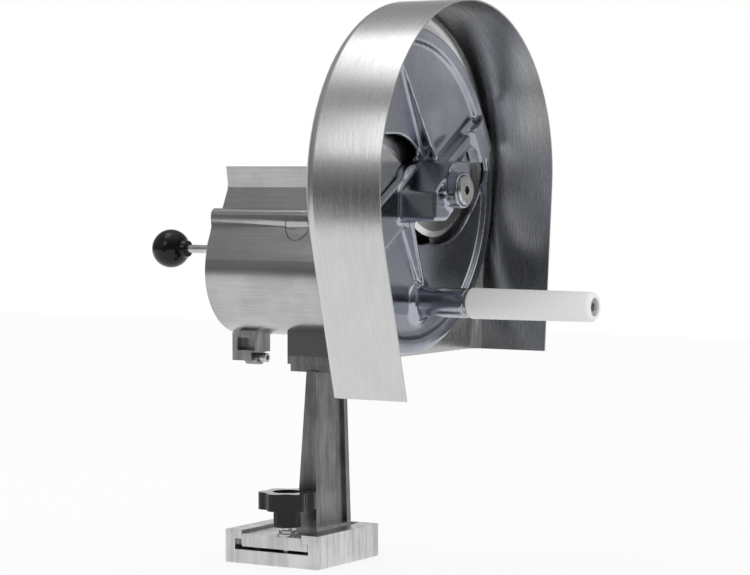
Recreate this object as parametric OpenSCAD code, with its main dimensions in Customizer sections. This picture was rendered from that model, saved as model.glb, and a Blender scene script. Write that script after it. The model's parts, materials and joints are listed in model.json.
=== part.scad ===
// Rotary vegetable slicer: a hand-cranked disc with two curved blades in front of a round feed barrel,
// on a column that slides and clamps in a counter-top base.
// Frame: origin at the centre of the base's bottom face, +Z up, the disc and its crank face -Y.

/* [Base] */
// Length of the base along its channel
base_len = 100; // [90:1:130]
// Width of the base across its channel
base_w = 96; // [90:1:120]
// Height of the base
base_h = 29; // [27:0.5:36]
// Thickness of the base floor
floor_t = 12; // [9:0.5:13]
// Gap between the channel floor and the clamped foot
under_gap = 3; // [2:0.25:4]
// Width of the undercut channel
channel_w = 76; // [72:1:82]
// Width of the opening between the two lips
lip_gap_w = 62; // [56:1:66]
// Thickness of the two lips over the foot
lip_t = 7.6; // [6:0.2:9]
// Thickness of the stop wall at the closed end of the channel
stop_t = 5; // [4:0.5:10]
// Distance between the counter screw holes along the base
screw_span_x = 66; // [50:1:72]
// Distance between the counter screw holes across the base
screw_span_y = 50; // [40:1:60]
// Radius of a counter screw hole
screw_hole_r = 2.75; // [2:0.25:3.5]
// Radius of the countersink of a counter screw hole
sink_r = 5.5; // [4.5:0.25:6]
// Sliding clearance of the foot in the channel, on each side
slide_gap = 0.4; // [0.2:0.05:0.6]

/* [Pedestal] */
// Distance of the slicer's middle plane from the middle of the base
unit_x = 12.5; // [8:0.5:13]
// Height of the foot above the lips' underside
foot_rise = 4.8; // [3:0.2:7]
// Width of the column at its foot
column_w_foot = 57; // [50:1:60]
// Width of the column at its head
column_w_head = 50; // [44:1:52]
// Front face of the column at its foot, in front of the middle of the base
column_front = 25; // [23:0.5:26]
// Depth of the column at its foot
column_d_foot = 21; // [18:1:24]
// Depth of the column at its head
column_d_head = 10; // [9:1:14]
// Thickness of the two side flanges of the column
flange_t = 6; // [5:0.5:8]
// Depth of the recess between the flanges, on the front and on the back
recess_d = 3; // [2:0.5:3.5]
// Height of the column's top end
column_top = 167.5; // [160:0.5:170]
// Height of the step under the head plate
step_h = 5.5; // [4:0.5:8]
// Thickness of the head plate
head_t = 7.5; // [6:0.5:10]
// Width of the head plate
head_w = 48; // [44:1:54]
// Back edge of the head plate, behind the middle of the base
head_back = 8; // [5:0.5:10]
// Length of the head plate
head_len = 44; // [40:1:50]

/* [Clamp] */
// Radius of the clamp knob over its lobes
knob_r = 25; // [22:0.5:26]
// Thickness of the clamp knob's head
knob_t = 15; // [13:0.5:20]
// Number of lobes on the clamp knob
knob_lobes = 6; // [5:1:8]
// Radius of the clamp knob's hub
knob_hub_r = 12; // [10:0.5:13]
// Height of the clamp knob's hub
knob_hub_h = 15.5; // [12:0.5:20]
// Radius of the clamp screw
stud_r = 4; // [3:0.5:5]
// Running clearance of the clamp screw in the foot
stud_gap = 0.06; // [0.02:0.01:0.1]
// Distance from the open end of the base to the clamp screw
stud_inset = 8.7; // [8:0.1:10]
// Distance of the clamp screw in front of the middle of the base
stud_front = 10.9; // [6:0.1:14]
// Height that the clamp screw backs off when it is loosened
clamp_lift = 2; // [1.5:0.25:3]
// Radius of the collar nut under the knob
collar_r = 8.5; // [7.5:0.25:9]
// Height of the collar nut
collar_h = 5; // [4:0.5:8]

/* [Barrel] */
// Radius of the feed barrel outside
barrel_r = 57; // [55:0.5:60]
// Height of the barrel's axis
barrel_z = 254; // [252:0.5:256]
// Wall of the barrel round the feed chamber
barrel_wall = 4; // [3:0.5:6]
// Height of the flat top of the chamber above the barrel's axis
chamber_top = 44; // [40:0.5:46]
// Half the width of the chamber's upper part
chamber_half_w = 43; // [40:0.5:43.5]
// Radius of the chamber's upper corners
chamber_corner = 13; // [10:0.5:15]
// Back end of the barrel
barrel_back = 73; // [60:1:80]
// Front end of the barrel's neck and lobes, where the guard is screwed on
barrel_front = 89; // [85:1:92]
// How far the barrel's rim stands in front of the neck, through the guard
rim_proud = 7; // [5:0.5:7.5]
// Height of the top of the neck above the crank shaft's axis
neck_top = 20.5; // [18:0.5:22]
// Half the width of the neck at its top
neck_top_half = 23.5; // [22:0.5:25]
// Half the width of the neck at its waist, beside the crank shaft
neck_waist_half = 20.5; // [19:0.5:21.5]
// Radius of the hollow flare from the neck to the lobes
neck_flare_r = 22.5; // [20:0.5:24]
// Height of the top of the lobes above the barrel's axis
lobe_top = 55.5; // [54:0.5:58]
// Half the width over the lobes
lobe_half_w = 47.6; // [46:0.2:49]
// Radius of the round edge of a lobe
lobe_edge_r = 6.5; // [5:0.5:8]
// Radius of the spot face milled in each side of the barrel
spot_r = 12.3; // [10:0.1:14]
// Distance of the spot face in front of the middle of the base
spot_front = 17.4; // [10:0.2:40]
// Depth of the spot face
spot_depth = 1.2; // [0.6:0.1:1.5]
// Width of the saddle block between the column's head and the barrel
saddle_w = 48; // [44:1:54]
// Height of the saddle block
saddle_h = 22.5; // [21:0.5:25]
// Length of the saddle block
saddle_len = 42; // [38:1:46]

/* [Rear bracket] */
// Half the width of the bracket under the barrel's back end
bracket_half_w = 11; // [9:0.5:13]
// Back face of the bracket, behind the middle of the base
bracket_back = 75.4; // [74:0.2:78]
// Length of the bracket
bracket_len = 26; // [24:0.5:30]
// Distance from the barrel's lowest line down to the bracket's underside
bracket_drop = 16.5; // [14:0.5:20]
// Height of the clamping boss under the bracket
bracket_boss_h = 10; // [8:0.5:12]

/* [Crank shaft] */
// Height of the crank shaft's axis
axis_z = 326; // [324:0.5:328]
// Radius of the crank shaft
shaft_r = 12.7; // [11:0.1:13]
// How far the crank shaft stands out of the hub's boss
shaft_proud = 2.2; // [1:0.2:6]
// Wall of the two bronze bushes
bush_wall = 2.3; // [2:0.1:3]
// Length of each bush
bush_len = 28; // [20:1:34]
// Radius of each bush's flange
bush_flange_r = 17.5; // [16.5:0.5:18.5]
// Thickness of each bush's flange
bush_flange_t = 2; // [1.5:0.25:2.5]
// Running clearance of the shaft in its bushes
run_gap = 0.05; // [0.02:0.01:0.1]

/* [Face plate] */
// Radius of the face plate
plate_r = 141.5; // [136:0.5:142]
// Back surface of the face plate, in front of the middle of the base
plate_back = 98; // [97.6:0.1:99]
// Thickness of the face plate's web
web_t = 4.2; // [3.5:0.1:5]
// Height of the rim above the web
rim_h = 4.8; // [3:0.2:6]
// Radius of the inner edge of the rim
rim_in_r = 128.5; // [122:0.5:131]
// Angle of the blade bar from the horizontal
bar_angle = 31; // [25:1:40]
// Half the width of the blade bar moulded in the face plate
bar_half_w = 19; // [18.5:0.5:21]
// Length of the blade bar from the axis
bar_reach = 119; // [114:1:121]
// Height of the blade bar above the web
bar_h = 6; // [5:0.5:8]
// Wall of the blade bar over the carrier
bar_wall = 2.6; // [2:0.2:3]
// Radius of the two half-moon slice windows
window_r = 74.5; // [70:0.5:75]
// Distance of a window's centre from the axis, along the blade bar
window_off = 57; // [50:0.5:58]
// Radius of the end of a window beside the hub
window_hub_r = 65; // [60:0.5:68]
// Radius of the end of a window beside the rim
window_rim_r = 58; // [54:0.5:60]
// Height of the hub's block in front of the web
hub_h = 42.8; // [38:0.2:46]
// Reach of the hub's block from the axis, along the blade bar
hub_reach = 34.6; // [33:0.2:38]
// Radius of the boss on the hub round the crank shaft
hub_boss_r = 15.6; // [15:0.1:16.5]
// Height of the boss on the hub
hub_boss_h = 12.2; // [10:0.2:16]
// Height of the two hoods over the outer ends of the windows, in front of the web
hood_h = 11; // [8:0.5:13]
// Width of each hood
hood_w = 34; // [26:1:36]
// Height of the ridge on the blade bar's right arm, in front of the web
ridge_h = 16; // [10:0.5:20]
// Distance of the ridge's end to the right of the axis
ridge_end = 80; // [70:1:88]
// Distance from the axis to the crank handle
crank_r = 98.2; // [95:0.2:104]
// Angle of the crank handle at rest, from the horizontal
crank_angle = -81; // [-90:1:-70]
// Front end of the handle boss
boss_front = 153; // [144:0.5:156]
// Radius of the handle boss
boss_r = 13; // [12:0.5:14]
// Thickness of the ribs
rib_t = 5.5; // [5:0.5:9]
// Travel of the face plate along the shaft, which sets the slice's thickness
slice_max = 12; // [8:1:12]

/* [Blades] */
// Gap between a blade's edge and the edge of its window
blade_gap = 6; // [5:0.5:9]
// Thickness of a blade
blade_t = 1.8; // [1.5:0.1:2.2]
// Width of a blade's ground edge
bevel_w = 5; // [3:0.5:7]
// Thickness of the blade carrier's arms
carrier_t = 3.6; // [3:0.1:4]
// Clearance of the carrier in the face plate's bar
carrier_gap = 0.5; // [0.4:0.1:0.8]
// Radius of the carrier's hub
carrier_hub_r = 18; // [17:0.5:18.5]

/* [Crank handle] */
// Radius of the grip at its inner end
grip_r = 13.3; // [12:0.1:15]
// Radius of the grip at its outer end
grip_end_r = 12.7; // [11:0.1:14]
// Length of the grip
grip_len = 118.5; // [105:0.5:130]
// Radius of the round edge at the grip's outer end
grip_edge_r = 4; // [2:0.5:6]
// Radius of the handle bolt
bolt_r = 4.75; // [4:0.25:6]
// Running clearance of the grip on its bolt
grip_gap = 0.08; // [0.03:0.01:0.1]
// Radius of the handle bolt's head
bolt_head_r = 7.5; // [6.5:0.25:8.5]
// Height of the handle bolt's head
bolt_head_h = 5; // [4:0.5:6]

/* [Pusher] */
// Clearance of the pusher in the chamber
pusher_gap = 0.8; // [0.5:0.1:1.2]
// Thickness of the pusher plate
pusher_t = 16; // [10:1:20]
// Front face of the pusher plate at rest, in front of the middle of the base
pusher_front = 32; // [20:1:50]
// Height of the pusher rod above the barrel's axis
rod_up = 17.5; // [15:0.5:20]
// Radius of the pusher rod
rod_r = 3.75; // [2:0.25:4]
// Length of the pusher rod behind the plate
rod_len = 158.5; // [125:0.5:165]
// Radius of the ball knob
ball_r = 17.5; // [15:0.5:20]
// Length of a pusher pin
pin_len = 8; // [5:0.5:10]
// Radius of a pusher pin
pin_r = 1.5; // [1:0.25:2]

/* [Guard] */
// Thickness of the guard's sheet
sheet_t = 1.5; // [1.2:0.1:2]
// Room between the face plate's edge and the outside of the right part of the guard's arch
guard_gap = 5; // [4.5:0.5:9]
// How much larger the radius of the left part of the arch is
arch_more = 15; // [8:1:20]
// Distance of the right arch's centre to the right of the shaft's axis
arch_x = 2; // [-2:0.5:3]
// Height of the right arch's centre above the shaft's axis
arch_up = 15.5; // [12:0.5:20]
// Angle at which the two parts of the arch meet
arch_join = 120; // [100:1:130]
// Inward lean of the left leg
lean_left = 15.6; // [10:0.1:16.5]
// Inward lean of the right leg
lean_right = 5; // [3:0.1:6]
// Height of the left leg's lower end
left_end_z = 154; // [148:1:170]
// Height of the right leg's lower end, and of the back plate's lower edge
right_end_z = 181; // [175:1:190]
// Radius of the bend between the guard's back plate and its wall, outside
bend_r = 12; // [9:0.5:14]
// Front edge of the guard, in front of the middle of the base
guard_front = 164; // [155:1:172]

/* [Hidden] */
$fn = 96;

eps = 0.01;
big = 400;

// Heights and places that follow from the sizes above
lip_under = base_h - lip_t;
foot_bottom = floor_t + under_gap;
flange_top = lip_under - 0.05;
foot_top = lip_under + foot_rise;
foot_w = lip_gap_w - 2*slide_gap;
foot_flange_w = channel_w - 2*slide_gap;
foot_start = -base_len/2;
foot_len = base_len - stop_t - 0.5;
stud_x = -base_len/2 + stud_inset;
stud_y = -stud_front;
collar_top = foot_top + collar_h;
knob_z = collar_top + clamp_lift + 1;
step_z = column_top;
head_z = column_top + step_h;
saddle_z = head_z + head_t;
barrel_low = barrel_z - barrel_r;
chamber_r = barrel_r - barrel_wall;
bracket_z = barrel_low - bracket_drop;
neck_waist = axis_z - barrel_z + 2;
neck_high = axis_z - barrel_z + neck_top;
bush_r = shaft_r + bush_wall;
bush_bore = shaft_r + run_gap;
rim_front = barrel_front + rim_proud;
sheet_front = barrel_front + sheet_t;
shaft_back = barrel_back + bush_flange_t + 3.6;
web_front = plate_back + web_t;
rim_face = web_front + rim_h;
bar_face = web_front + bar_h;
hub_front = web_front + hub_h;
shaft_front = hub_front + hub_boss_h + shaft_proud;
blade_back = plate_back - 0.6;
blade_face = blade_back + blade_t;
carrier_face = blade_face + carrier_t;
carrier_back = sheet_front + bush_flange_t + 1.2;
blade_edge_r = window_r - blade_gap;
window_drop = -3;
hub_wall_r = carrier_hub_r + carrier_gap + 4;
arm_half_w = bar_half_w - bar_wall - carrier_gap;
arm_reach = bar_reach - bar_wall - carrier_gap;
arm_up = 0;
bar_up = arm_up + carrier_gap + bar_wall;
crank_x = crank_r*cos(crank_angle);
crank_y = crank_r*sin(crank_angle);
washer_t = 1.6;
grip_start = boss_front + washer_t + 0.15;
grip_end = grip_start + grip_len;
bolt_seat = grip_end - 7.5;
pusher_back = -pusher_front + pusher_t;
rod_z = barrel_z + rod_up;
rod_back = pusher_back + rod_len;
ball_y = rod_back + ball_r*0.45;
ball_hole = 12;
arch_r = plate_r + guard_gap;
arch_cx = unit_x + arch_x;
arch_cz = axis_z + arch_up;
big_arch_r = arch_r + arch_more;
big_cx = arch_cx - arch_more*cos(arch_join);
big_cz = arch_cz - arch_more*sin(arch_join);
band_d = guard_front - barrel_front;
bend_steps = 6;
arch_steps = 32;
side_steps = 19;
lobe_screw_x = lobe_half_w - 7.1;
neck_screw_x = neck_waist_half - 1.5;
lobe_screw_z = barrel_z + lobe_top - 7.5;
neck_screw_z = axis_z + neck_top - 4.5;
guard_screw_at = [[-lobe_screw_x, lobe_screw_z], [lobe_screw_x, lobe_screw_z],
    [-neck_screw_x, neck_screw_z], [neck_screw_x, neck_screw_z]];
guard_screw_r = 2;
saddle_bolt_x = saddle_w/3;
saddle_bolt_at = [head_back - 8, head_back - head_len + 8];
saddle_bolt_top = barrel_z - sqrt(pow(chamber_r, 2) - pow(saddle_bolt_x, 2)) - 1.5;
bracket_boss_y = bracket_back - bracket_len + 2.6;
bracket_boss_z = bracket_z - bracket_boss_h/2;
bracket_boss_len = 14;
blade_screw_at = [30, 62, 94];

// Local frame of everything in front of the barrel: x to the right, y up, z forward, round the shaft's axis
module at_axis() {
    translate([unit_x, 0, axis_z])
        rotate([90, 0, 0])
            children();
}

// A solid of a drawing in the X-Z plane, centred on the middle plane, between two distances along Y
module along_barrel(back, front) {
    translate([unit_x, back, 0])
        rotate([90, 0, 0])
            linear_extrude(back + front)
                children();
}

// A socket-headed screw that points along -z, its head's seat at z = 0
module socket_screw(r, length, head_r, head_h) {
    difference() {
        union() {
            translate([0, 0, -length])
                cylinder(r=r, h=length + eps);
            cylinder(r=head_r, h=head_h);
        }
        translate([0, 0, head_h*0.4])
            cylinder(r=head_r*0.55, h=head_h, $fn=6);
    }
}

module base_section() {
    difference() {
        translate([-base_w/2, 0])
            square([base_w, base_h]);
        translate([-channel_w/2, floor_t])
            square([channel_w, lip_under - floor_t]);
        translate([-lip_gap_w/2, lip_under - eps])
            square([lip_gap_w, lip_t + 1]);
    }
}

module base_bracket() {
    color("lightgray")
    difference() {
        union() {
            rotate([90, 0, 90])
                translate([0, 0, -base_len/2])
                    linear_extrude(base_len)
                        base_section();
            translate([base_len/2 - stop_t, -channel_w/2 - 1, floor_t - 1])
                cube([stop_t, channel_w + 2, base_h - floor_t + 1]);
        }
        for (x = [-1, 1], y = [-1, 1])
            translate([x*screw_span_x/2, y*screw_span_y/2, 0]) {
                translate([0, 0, -1])
                    cylinder(r=screw_hole_r, h=floor_t + 2);
                translate([0, 0, floor_t - (sink_r - screw_hole_r)])
                    cylinder(r1=screw_hole_r, r2=sink_r + 0.5, h=sink_r - screw_hole_r + 0.5);
            }
    }
}

module foot() {
    difference() {
        union() {
            translate([foot_start, -foot_flange_w/2, foot_bottom])
                cube([foot_len, foot_flange_w, flange_top - foot_bottom]);
            translate([foot_start, -foot_w/2, foot_bottom])
                cube([foot_len, foot_w, foot_top - foot_bottom]);
        }
        translate([foot_start - 1, foot_w/2, foot_bottom - 1])
            cube([9, foot_flange_w, foot_top]);
        translate([stud_x, stud_y, 0])
            cylinder(r=stud_r + stud_gap, h=foot_top + 1);
    }
}

// The column's tapered block between its foot and its head, made smaller by inset on each side
module column_block(inset_x, front_in, back_in) {
    foot_y = -column_front + front_in;
    head_y = -column_front + 2.5 + front_in;
    hull() {
        translate([unit_x - column_w_foot/2 + inset_x, foot_y, foot_top - 1])
            cube([column_w_foot - 2*inset_x, column_d_foot - front_in - back_in, eps]);
        translate([unit_x - column_w_head/2 + inset_x, head_y, column_top])
            cube([column_w_head - 2*inset_x, column_d_head - front_in - back_in, eps]);
    }
}

module pedestal() {
    color("darkgray")
    difference() {
        union() {
            foot();
            column_block(flange_t, recess_d, recess_d);
            difference() {
                column_block(0, 0, 0);
                column_block(flange_t, -column_d_foot, -column_d_foot);
            }
            hull() {
                translate([unit_x - column_w_foot/2 - 1, -column_front - 1.5, foot_top - 1])
                    cube([column_w_foot + 2, column_d_foot + 4, eps]);
                translate([unit_x - column_w_foot/2 + 1, -column_front + 0.5, foot_top + 4])
                    cube([column_w_foot - 2, column_d_foot - 1, eps]);
            }
            translate([unit_x - head_w/2 + 2, head_back - 2 - head_len + 4, step_z - 1])
                cube([head_w - 4, head_len - 4, step_h + 1]);
            translate([unit_x - head_w/2, head_back - head_len, head_z])
                cube([head_w, head_len, head_t]);
        }
        for (x = [-1, 1], y = saddle_bolt_at)
            translate([unit_x + x*saddle_bolt_x, y, 0]) {
                translate([0, 0, column_top])
                    cylinder(r=2.6, h=big);
                translate([0, 0, step_z - 0.5])
                    cylinder(r=4.75, h=step_h + 0.5);
            }
    }
}

module clamp_screw() {
    color("silver")
    translate([stud_x, stud_y, 0])
        union() {
            translate([0, 0, floor_t + 0.15])
                cylinder(r=stud_r - 0.8, h=1.2);
            translate([0, 0, floor_t + 1.2])
                cylinder(r=stud_r, h=knob_z + knob_hub_h + 2 - floor_t - 1.2);
        }
}

module knob_section() {
    circle(r=knob_r*0.86);
    for (i = [0:knob_lobes - 1])
        rotate(i*360/knob_lobes)
            translate([knob_r*0.68, 0])
                circle(r=knob_r*0.32);
}

module clamp_knob() {
    color("#151515")
    translate([stud_x, stud_y, knob_z])
        difference() {
            union() {
                cylinder(r=knob_hub_r, h=knob_hub_h + 1);
                translate([0, 0, knob_hub_h])
                    linear_extrude(knob_t)
                        knob_section();
            }
            translate([0, 0, -1])
                cylinder(r=stud_r + eps, h=knob_hub_h + 3 + eps);
            translate([0, 0, knob_hub_h + knob_t - 1.6])
                cylinder(r=knob_r*0.5, h=3);
        }
}

module clamp_collar() {
    color("silver")
    translate([stud_x, stud_y, foot_top])
        difference() {
            union() {
                cylinder(r=collar_r, h=collar_h*0.45);
                cylinder(r=collar_r*0.86, h=collar_h, $fn=6);
            }
            translate([0, 0, -1])
                cylinder(r=stud_r + stud_gap, h=collar_h + 2);
        }
}

module saddle_block() {
    color("gray")
    difference() {
        translate([unit_x - saddle_w/2, head_back - saddle_len, saddle_z])
            cube([saddle_w, saddle_len, saddle_h]);
        translate([unit_x, -big/2, barrel_z])
            rotate([-90, 0, 0])
                cylinder(r=barrel_r, h=big);
        for (x = [-1, 1], y = saddle_bolt_at)
            translate([unit_x + x*saddle_bolt_x, y, 0])
                cylinder(r=2.6, h=big);
    }
}

module saddle_bolts() {
    color("silver")
    for (x = [-1, 1], y = saddle_bolt_at)
        translate([unit_x + x*saddle_bolt_x, y, head_z])
            mirror([0, 0, 1])
                socket_screw(2.5, saddle_bolt_top - head_z - 0.3, 4.25, 4.5);
}

module neck_outline() {
    difference() {
        polygon([[-neck_waist_half - 13, lobe_top - 8], [-neck_waist_half, neck_waist],
            [-neck_top_half, neck_high], [neck_top_half, neck_high],
            [neck_waist_half, neck_waist], [neck_waist_half + 13, lobe_top - 8]]);
    }
}

module flare_outline() {
    difference() {
        translate([-neck_waist_half - 9, lobe_top - 8])
            square([2*neck_waist_half + 18, neck_waist - lobe_top + 8]);
        for (s = [-1, 1])
            translate([s*(neck_waist_half + neck_flare_r), neck_waist])
                circle(r=neck_flare_r);
    }
}

module lobe_outline() {
    edge = lobe_edge_r;
    for (s = [-1, 1])
        translate([s*(lobe_half_w - edge), lobe_top - edge])
            circle(r=edge);
    translate([-lobe_half_w + edge, 20])
        square([2*(lobe_half_w - edge), lobe_top - 20]);
    polygon([[-lobe_half_w, lobe_top - edge], [-lobe_half_w - 0.2, 44.6], [-lobe_half_w + 0.8, 39.8],
        [-lobe_half_w - 1.2, 33.6], [-lobe_half_w - 5.2, 24.9], [-barrel_r + 1, 11], [-barrel_r, 0],
        [barrel_r, 0], [barrel_r - 1, 11], [lobe_half_w + 5.2, 24.9], [lobe_half_w + 1.2, 33.6],
        [lobe_half_w - 0.8, 39.8], [lobe_half_w + 0.2, 44.6], [lobe_half_w, lobe_top - edge]]);
}

module chamber_outline(gap) {
    corner = chamber_corner - gap;
    half_w = chamber_half_w - gap;
    top = chamber_top - gap;
    intersection() {
        circle(r=chamber_r - gap);
        translate([-big/2, top - big])
            square([big, big]);
    }
    translate([-half_w, 0])
        square([2*half_w, top - corner]);
    translate([-half_w + corner, 0])
        square([2*(half_w - corner), top]);
    for (s = [-1, 1])
        translate([s*(half_w - corner), top - corner])
            circle(r=corner);
}

module barrel_outline() {
    circle(r=barrel_r);
    lobe_outline();
    neck_outline();
    flare_outline();
}

module rim_outline(grow) {
    intersection() {
        circle(r=barrel_r + grow);
        translate([-big/2, chamber_top + 2.4 + grow - big])
            square([big, big]);
    }
    polygon([[-barrel_r - grow, 0], [-barrel_r + 1 - grow, 11], [-lobe_half_w - 2.2 - grow, 30],
        [-chamber_half_w - 2.4 - grow, 36], [-chamber_half_w - 2.4 - grow, chamber_top + 2.4 + grow],
        [chamber_half_w + 2.4 + grow, chamber_top + 2.4 + grow], [chamber_half_w + 2.4 + grow, 36],
        [lobe_half_w + 2.2 + grow, 30], [barrel_r - 1 + grow, 11], [barrel_r + grow, 0]]);
}

// The rim keeps clear of the four guard screws
module rim_clear(grow) {
    difference() {
        rim_outline(grow);
        for (p = guard_screw_at)
            translate([p[0], p[1] - barrel_z])
                circle(r=guard_screw_r*2 + 1 - grow);
    }
}

module barrel_housing() {
    color("silver")
    difference() {
        union() {
            along_barrel(barrel_back, barrel_front)
                translate([0, barrel_z])
                    barrel_outline();
            along_barrel(-barrel_front + 1, rim_front)
                translate([0, barrel_z])
                    rim_clear(0);
        }
        along_barrel(barrel_back + 1, rim_front + 1)
            translate([0, barrel_z])
                chamber_outline(0);
        translate([unit_x, 0, axis_z])
            rotate([90, 0, 0])
                cylinder(r=bush_r, h=2*big, center=true);
        for (s = [-1, 1])
            translate([unit_x + s*(lobe_half_w - spot_depth), -spot_front, barrel_z + lobe_top - 14.9])
                rotate([0, s*90, 0])
                    cylinder(r=spot_r, h=20);
        for (p = guard_screw_at)
            translate([unit_x + p[0], -barrel_front, p[1]])
                rotate([-90, 0, 0])
                    cylinder(r=guard_screw_r, h=14);
        for (x = [-1, 1], y = saddle_bolt_at)
            translate([unit_x + x*saddle_bolt_x, y, barrel_low - 2])
                cylinder(r=2.55, h=saddle_bolt_top - barrel_low + 2);
    }
}

module rear_bracket() {
    lip_drop = 0.75*bracket_boss_h;
    pocket_d = 0.8*bracket_half_w;
    color("darkgray")
    difference() {
        union() {
            translate([unit_x - bracket_half_w, bracket_back - bracket_len, bracket_z])
                cube([2*bracket_half_w, bracket_len, bracket_drop + 2]);
            translate([unit_x - bracket_half_w, bracket_boss_y + 3, bracket_z - lip_drop])
                cube([2*bracket_half_w, bracket_back - bracket_boss_y - 3, lip_drop + 1]);
            translate([unit_x, bracket_boss_y, bracket_boss_z])
                rotate([-90, 0, 0])
                    cylinder(r=bracket_boss_h/2 + 1.3, h=bracket_boss_len);
        }
        for (s = [-1, 1])
            translate([unit_x + s*(bracket_half_w - pocket_d + 10), bracket_back - bracket_len/2 - 1.75,
                bracket_z + 0.45*bracket_drop])
                cube([20, bracket_len - 7.5, 0.68*bracket_drop], center=true);
        translate([unit_x, -big/2, barrel_z])
            rotate([-90, 0, 0])
                cylinder(r=barrel_r, h=big);
        translate([unit_x, 0, bracket_boss_z])
            rotate([-90, 0, 0])
                cylinder(r=2.5, h=big);
    }
}

module rear_bracket_screw() {
    color("silver")
    translate([unit_x, bracket_boss_y, bracket_boss_z])
        rotate([90, 0, 0])
            socket_screw(2.45, bracket_boss_len - 2, 4.2, 7);
}

module bush() {
    difference() {
        union() {
            cylinder(r=bush_flange_r, h=bush_flange_t);
            translate([0, 0, -bush_len])
                cylinder(r=bush_r, h=bush_len + eps);
        }
        translate([0, 0, -bush_len - 1])
            cylinder(r=bush_bore, h=bush_len + bush_flange_t + 2);
    }
}

module front_bush() {
    color("#b08d57")
    at_axis()
        translate([0, 0, sheet_front])
            bush();
}

module rear_bush() {
    color("#b08d57")
    at_axis()
        translate([0, 0, -barrel_back])
            mirror([0, 0, 1])
                bush();
}

module crank_shaft() {
    groove = 0.8;
    color("silver")
    at_axis()
        difference() {
            union() {
                translate([0, 0, -shaft_back])
                    cylinder(r=shaft_r, h=shaft_back + shaft_front - 1.5);
                translate([0, 0, shaft_front - 1.5])
                    cylinder(r1=shaft_r, r2=shaft_r - 1.5, h=1.5);
            }
            translate([0, 0, -shaft_back + 1.2])
                difference() {
                    cylinder(r=shaft_r + 1, h=1.2);
                    cylinder(r=shaft_r - groove, h=1.2);
                }
            translate([0, 0, shaft_front - 9])
                cylinder(r=4.2, h=12, $fn=6);
        }
}

module thrust_washer() {
    color("#c9a86a")
    at_axis()
        translate([0, 0, -barrel_back - bush_flange_t - 1.1])
            difference() {
                cylinder(r=bush_flange_r - 1, h=1);
                translate([0, 0, -1])
                    cylinder(r=shaft_r + run_gap, h=3);
            }
}

module shaft_retaining_ring() {
    color("dimgray")
    at_axis()
        translate([0, 0, -shaft_back + 1.25])
            difference() {
                cylinder(r=shaft_r + 2.4, h=1.1);
                translate([0, 0, -1])
                    cylinder(r=shaft_r - 0.75, h=3);
                translate([0, -shaft_r - 5, -1])
                    cube([5, 10, 6], center=true);
            }
}

// The carrier's hub and its two arms, each on its own blade's side of the bar
module carrier_outline() {
    circle(r=carrier_hub_r);
    for (turn = [0, 180])
        rotate(turn + bar_angle)
            translate([0, -arm_half_w])
                square([arm_reach, arm_half_w + arm_up]);
}

module blade_screw_holes(r) {
    for (turn = [0, 180], d = blade_screw_at)
        rotate(turn + bar_angle)
            translate([d, -arm_half_w/3])
                circle(r=r);
}

module blade_carrier() {
    color("gray")
    at_axis()
        difference() {
            union() {
                translate([0, 0, blade_face])
                    linear_extrude(carrier_t)
                        difference() {
                            carrier_outline();
                            blade_screw_holes(1.9);
                        }
                translate([0, 0, carrier_back])
                    cylinder(r=carrier_hub_r, h=carrier_face - carrier_back);
            }
            translate([0, 0, -1])
                cylinder(r=shaft_r + 0.02, h=big);
            rotate([0, 0, bar_angle + 90])
                translate([0, 0, (carrier_back + blade_back)/2])
                    rotate([0, 90, 0])
                        cylinder(r=1.5, h=carrier_hub_r + 2);
        }
}

module carrier_screw() {
    color("dimgray")
    at_axis()
        rotate([0, 0, bar_angle + 90])
            translate([shaft_r, 0, (carrier_back + blade_back)/2])
                rotate([0, 90, 0])
                    cylinder(r=1.45, h=carrier_hub_r - shaft_r - 0.5);
}

// Outline of one blade in the bar's own frame: a half-moon beyond the edge of its arm
module blade_outline(r) {
    difference() {
        intersection() {
            translate([window_off, window_drop])
                circle(r=r, $fn=180);
            translate([-window_r, -2*window_r])
                square([arm_reach - 1 + window_r, 2*window_r]);
        }
        circle(r=hub_wall_r + 1);
    }
}

module blade() {
    rotate([0, 0, bar_angle])
        difference() {
            union() {
                translate([0, 0, blade_back])
                    linear_extrude(blade_t)
                        blade_outline(blade_edge_r - bevel_w);
                intersection() {
                    translate([0, 0, blade_back])
                        linear_extrude(blade_t)
                            blade_outline(blade_edge_r);
                    translate([window_off, window_drop, blade_back])
                        cylinder(r1=blade_edge_r, r2=blade_edge_r - bevel_w - 0.5, h=blade_t, $fn=180);
                }
            }
            for (d = blade_screw_at)
                translate([d, -arm_half_w/3, 0])
                    cylinder(r=1.9, h=big);
        }
}

module upper_blade() {
    color("whitesmoke")
    at_axis()
        rotate([0, 0, 180])
            blade();
}

module lower_blade() {
    color("whitesmoke")
    at_axis()
        blade();
}

module blade_screws() {
    color("silver")
    at_axis()
        for (turn = [0, 180], d = blade_screw_at)
            rotate([0, 0, turn + bar_angle])
                translate([d, -arm_half_w/3, blade_back])
                    union() {
                        cylinder(r=1.85, h=blade_t + carrier_t);
                        translate([0, 0, -0.001])
                            mirror([0, 0, 1])
                                cylinder(r1=3.4, r2=2.6, h=0.35);
                    }
}

// Outline of one window in the bar's own frame
module window_outline() {
    difference() {
        intersection() {
            union() {
                translate([window_off, window_drop])
                    circle(r=window_r, $fn=180);
                translate([window_off - 27, 2.5])
                    circle(r=window_hub_r, $fn=180);
                translate([window_off + 19, -16])
                    circle(r=window_rim_r, $fn=180);
            }
            circle(r=rim_in_r + 3, $fn=180);
            translate([-window_r, -2*window_r])
                square([4*window_r, 2*window_r - bar_half_w]);
        }
        circle(r=hub_wall_r);
    }
}

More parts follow.
